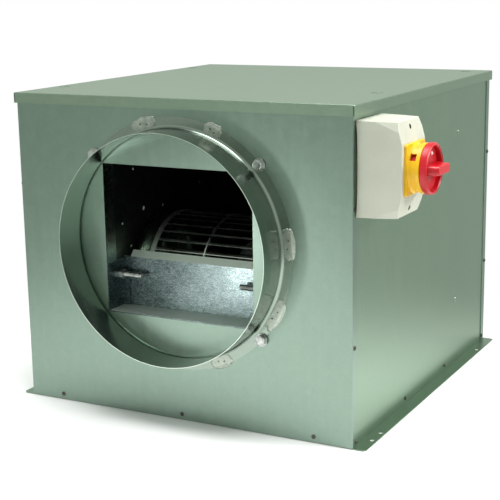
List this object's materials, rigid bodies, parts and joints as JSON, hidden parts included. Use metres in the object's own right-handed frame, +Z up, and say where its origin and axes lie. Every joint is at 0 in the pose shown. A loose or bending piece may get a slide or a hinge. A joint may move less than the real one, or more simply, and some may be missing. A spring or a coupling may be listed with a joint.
{
  "type": "exhaust hood fan",
  "caption": "Galvanised box exhaust fan with round duct spigots front and rear, a double-inlet blower inside driven by its own motor, a dimpled lid, foot flanges and a side isolator switch.",
  "frame": {"origin": "centre of the foot flanges' four-hole pattern, on the underside of the casing", "axes": "+Z up towards the lid, -Y out of the blower's outlet spigot, +Y out of the inlet spigot, +X towards the side that carries the isolator switch; the blower's and motor's axis runs along X"},
  "size_m": [0.6239, 0.645, 0.44],
  "materials": {
    "galvanised_steel": "zinc-coated sheet with a faint spangle and drawn streaks",
    "zinc_bolts": "bright zinc plating",
    "screw_steel": "dull zinc plating",
    "wheel_steel": "galvanised strip",
    "black_rubber": "matte",
    "motor_aluminium": "bare casting, satin",
    "bearing_steel": "ground",
    "lamination_steel": "stacked sheet, dull",
    "copper_winding": "enamelled copper wire",
    "capacitor_can": "drawn can, satin",
    "cable_sheath": "matte sheath",
    "switch_grey": "light grey moulding, fine texture",
    "switch_black": "black moulding",
    "handle_yellow": "yellow moulding, soft gloss",
    "handle_red": "red moulding, soft gloss",
    "marker_white": "white dot"
  },
  "bodies": {
    "casing": {"arm_bolts": "zinc_bolts", "arm_bushes": "black_rubber", "base_tray": "galvanised_steel", "blower_feet": "galvanised_steel", "blower_foot_screws": "zinc_bolts", "blower_rivets": "screw_steel", "blower_scroll": "galvanised_steel", "blower_side_left": "galvanised_steel", "blower_side_right": "galvanised_steel", "cable_grommet": "black_rubber", "capacitor": "capacitor_can", "capacitor_clip": "galvanised_steel", "cutoff_bolts": "zinc_bolts", "cutoff_plate": "galvanised_steel", "foot_bolts": "zinc_bolts", "foot_rubbers": "black_rubber", "front_panel": "galvanised_steel", "handle_plate": "handle_yellow", "hex_nuts": "zinc_bolts", "inlet_cones": "galvanised_steel", "inlet_spigot": "galvanised_steel", "inlet_spigot_screws": "screw_steel", "lid": "galvanised_steel", "lid_screws": "screw_steel", "motor_arms": "galvanised_steel", "motor_band": "galvanised_steel", "motor_bearings": "bearing_steel", "motor_cable": "cable_sheath", "motor_casing": "motor_aluminium", "motor_end_bells": "motor_aluminium", "motor_stator": "lamination_steel", "motor_windings": "copper_winding", "outlet_bolt_washers": "zinc_bolts", "outlet_bolts": "zinc_bolts", "outlet_frame": "galvanised_steel", "outlet_spigot": "galvanised_steel", "panel_screws": "screw_steel", "rear_panel": "galvanised_steel", "side_panel_left": "galvanised_steel", "side_panel_right": "galvanised_steel", "side_stiffeners": "galvanised_steel", "stiffener_rivets": "screw_steel", "switch_base": "switch_grey", "switch_base_screws": "screw_steel", "switch_body": "switch_black", "switch_cover": "switch_grey", "switch_cover_screws": "screw_steel", "switch_seal": "black_rubber", "terminal_block": "switch_black"},
    "impeller": {"impeller_blades": "wheel_steel", "impeller_rings": "wheel_steel", "impeller_disc": "wheel_steel", "impeller_hub": "wheel_steel", "impeller_rivets": "wheel_steel", "motor_rotor": "lamination_steel", "motor_shaft": "bearing_steel"},
    "knob": {"handle_knob": "handle_red", "knob_marker": "marker_white", "switch_spindle": "switch_black"}
  },
  "joints": [
    {"name": "impeller_spin", "type": "hinge", "parent": "casing", "child": "impeller", "pos_m": [0, -0.1245, 0.167], "axis": [1, 0, 0], "continuous": true},
    {"name": "knob_turn", "type": "hinge", "parent": "casing", "child": "knob", "pos_m": [0.33, -0.2245, 0.3605], "axis": [-1, 0, 0], "range_deg": [0, 90]}
  ]
}
